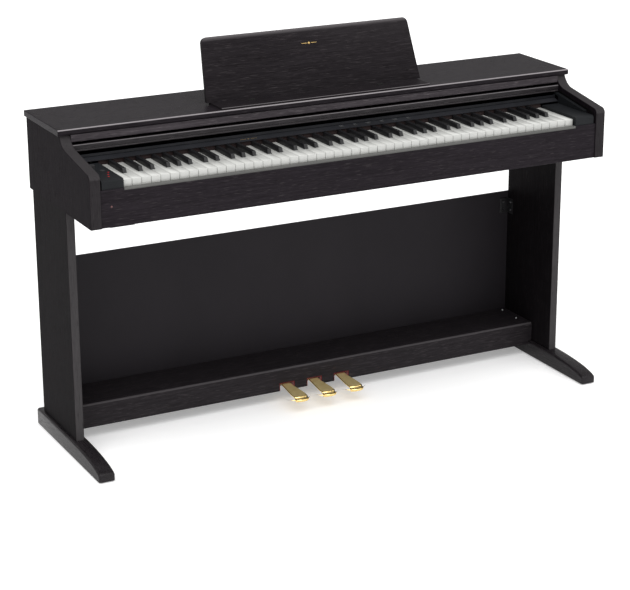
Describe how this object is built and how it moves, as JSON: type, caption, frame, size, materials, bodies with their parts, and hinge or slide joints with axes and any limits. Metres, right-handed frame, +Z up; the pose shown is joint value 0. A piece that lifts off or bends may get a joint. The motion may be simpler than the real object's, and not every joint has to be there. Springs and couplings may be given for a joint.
{
  "type": "digital piano on stand",
  "caption": "Full-size digital piano in a dark laminate cabinet with sliding key cover, lift-out music rest, panel legs, long feet, back panel and a three-pedal board.",
  "frame": {"origin": "centre of the footprint at floor level", "axes": "+X along the keyboard to the player's right, +Y from the player to the back, +Z up"},
  "size_m": [1.417, 0.432, 0.977],
  "materials": {
    "top_laminate": "dark rosewood-grain laminate, satin",
    "cabinet_laminate": "dark rosewood-grain laminate, satin",
    "rest_laminate": "dark rosewood-grain laminate, satin",
    "cover_laminate": "dark laminate, satin",
    "back_board": "plain dark foil on fibreboard, matt",
    "grey_strip": "grey moulded strip",
    "lamp": "smoked red lens",
    "cheek_plastic": "fine-textured black moulding",
    "panel_plastic": "blue-black satin moulding",
    "natural_key": "polished white key plastic",
    "sharp_key": "satin black key plastic",
    "red_felt": "dark red felt",
    "steel": "zinc-plated pressed steel",
    "black_steel": "black powder-coated steel",
    "bright_steel": "ground steel",
    "circuit_board": "green circuit board",
    "speaker_black": "black speaker frame and grille",
    "socket_plastic": "black socket housing",
    "jack_metal": "plated jack sleeve",
    "pad_rubber": "dark rubber",
    "button_plastic": "dark grey moulded cap",
    "gold_pedal": "polished gold-coloured brass"
  },
  "bodies": {
    "cabinet": {"top_panel": "top_laminate", "left_arm": "cabinet_laminate", "right_arm": "cabinet_laminate", "bottom_board": "cabinet_laminate", "rear_board": "back_board", "fascia": "cabinet_laminate", "front_rail": "cabinet_laminate", "key_slip": "grey_strip", "power_lamp": "lamp", "left_cheek_block": "cheek_plastic", "right_cheek_block": "cheek_plastic", "cover_guides": "cheek_plastic", "name_board": "panel_plastic", "keyboard_chassis": "steel", "key_rod": "bright_steel", "key_felts": "red_felt", "hammer_levers": "steel", "contact_board": "circuit_board", "speakers": "speaker_black", "speaker_grilles": "speaker_black", "main_board": "circuit_board", "dc_inlet": "socket_plastic", "usb_socket": "socket_plastic", "pedal_socket": "socket_plastic", "headphone_box": "cheek_plastic", "headphone_jacks": "jack_metal", "left_foot": "cabinet_laminate", "right_foot": "cabinet_laminate", "foot_pads": "pad_rubber", "left_leg": "cabinet_laminate", "right_leg": "cabinet_laminate", "leg_brackets": "black_steel", "joint_screws": "black_steel", "back_panel": "back_board", "pedal_board": "cabinet_laminate", "pedal_shelf": "cabinet_laminate", "pedal_felts": "red_felt", "pedal_base": "black_steel", "pedal_axle": "bright_steel", "pedal_springs": "bright_steel"},
    "cover": {"key_cover": "cover_laminate", "cover_bar": "cover_laminate"},
    "rest": {"music_rest": "rest_laminate", "rest_ledge": "rest_laminate", "page_stops": "pad_rubber"},
    "power_button": {"power_button": "button_plastic"},
    "volume_knob": {"volume_knob": "button_plastic"},
    "panel_buttons": {"panel_buttons": "button_plastic"},
    "bass_naturals": {"bass_naturals": "natural_key"},
    "treble_naturals": {"treble_naturals": "natural_key"},
    "bass_sharps": {"bass_sharps": "sharp_key"},
    "treble_sharps": {"treble_sharps": "sharp_key"},
    "key_c": {"key_c": "natural_key"},
    "key_d": {"key_d": "natural_key"},
    "key_e": {"key_e": "natural_key"},
    "key_c_sharp": {"key_c_sharp": "sharp_key"},
    "key_d_sharp": {"key_d_sharp": "sharp_key"},
    "soft_pedal": {"soft_pedal": "gold_pedal"},
    "sostenuto_pedal": {"sostenuto_pedal": "gold_pedal"},
    "damper_pedal": {"damper_pedal": "gold_pedal"}
  },
  "joints": [
    {"name": "bass_naturals_press", "type": "hinge", "parent": "cabinet", "child": "bass_naturals", "pos_m": [0, 0.03, 0.719], "axis": [1, 0, 0], "range_deg": [0, 2.5], "stiffness_Nm_per_rad": 18.4, "springref_deg": -9.17},
    {"name": "treble_naturals_press", "type": "hinge", "parent": "cabinet", "child": "treble_naturals", "pos_m": [0, 0.03, 0.719], "axis": [1, 0, 0], "range_deg": [0, 2.5], "stiffness_Nm_per_rad": 20.8, "springref_deg": -9.17},
    {"name": "bass_sharps_press", "type": "hinge", "parent": "cabinet", "child": "bass_sharps", "pos_m": [0, 0.03, 0.719], "axis": [1, 0, 0], "range_deg": [0, 2.5], "stiffness_Nm_per_rad": 12.8, "springref_deg": -9.17},
    {"name": "treble_sharps_press", "type": "hinge", "parent": "cabinet", "child": "treble_sharps", "pos_m": [0, 0.03, 0.719], "axis": [1, 0, 0], "range_deg": [0, 2.5], "stiffness_Nm_per_rad": 14.4, "springref_deg": -9.17},
    {"name": "key_c_press", "type": "hinge", "parent": "cabinet", "child": "key_c", "pos_m": [0, 0.03, 0.719], "axis": [1, 0, 0], "range_deg": [0, 2.5], "stiffness_Nm_per_rad": 0.8, "springref_deg": -9.17},
    {"name": "key_d_press", "type": "hinge", "parent": "cabinet", "child": "key_d", "pos_m": [0, 0.03, 0.719], "axis": [1, 0, 0], "range_deg": [0, 2.5], "stiffness_Nm_per_rad": 0.8, "springref_deg": -9.17},
    {"name": "key_e_press", "type": "hinge", "parent": "cabinet", "child": "key_e", "pos_m": [0, 0.03, 0.719], "axis": [1, 0, 0], "range_deg": [0, 2.5], "stiffness_Nm_per_rad": 0.8, "springref_deg": -9.17},
    {"name": "key_c_sharp_press", "type": "hinge", "parent": "cabinet", "child": "key_c_sharp", "pos_m": [0, 0.03, 0.719], "axis": [1, 0, 0], "range_deg": [0, 2.5], "stiffness_Nm_per_rad": 0.8, "springref_deg": -9.17},
    {"name": "key_d_sharp_press", "type": "hinge", "parent": "cabinet", "child": "key_d_sharp", "pos_m": [0, 0.03, 0.719], "axis": [1, 0, 0], "range_deg": [0, 2.5], "stiffness_Nm_per_rad": 0.8, "springref_deg": -9.17},
    {"name": "cover_slide", "type": "slide", "parent": "cabinet", "child": "cover", "axis": [0, -0.9877, -0.1564], "range_m": [0, 0.165]},
    {"name": "rest_lift", "type": "slide", "parent": "cabinet", "child": "rest", "axis": [0, 0, 1], "range_m": [0, 0.06]},
    {"name": "power_press", "type": "slide", "parent": "cabinet", "child": "power_button", "axis": [0, 0, -1], "range_m": [0, 0.0016], "stiffness_N_per_m": 300, "springref_m": -0.0015},
    {"name": "panel_press", "type": "slide", "parent": "cabinet", "child": "panel_buttons", "axis": [0, 0.3884, -0.9215], "range_m": [0, 0.0008], "stiffness_N_per_m": 600, "springref_m": -0.001},
    {"name": "volume_turn", "type": "hinge", "parent": "cabinet", "child": "volume_knob", "pos_m": [-0.65, -0.092, 0.7355], "axis": [0, 0, 1], "range_deg": [-140, 140]},
    {"name": "soft_pedal_press", "type": "hinge", "parent": "cabinet", "child": "soft_pedal", "pos_m": [0, 0.14, 0.058], "axis": [1, 0, 0], "range_deg": [0, 5], "stiffness_Nm_per_rad": 20, "springref_deg": -3.44},
    {"name": "sostenuto_pedal_press", "type": "hinge", "parent": "cabinet", "child": "sostenuto_pedal", "pos_m": [0, 0.14, 0.058], "axis": [1, 0, 0], "range_deg": [0, 5], "stiffness_Nm_per_rad": 20, "springref_deg": -3.44},
    {"name": "damper_pedal_press", "type": "hinge", "parent": "cabinet", "child": "damper_pedal", "pos_m": [0, 0.14, 0.058], "axis": [1, 0, 0], "range_deg": [0, 5], "stiffness_Nm_per_rad": 20, "springref_deg": -3.44}
  ]
}
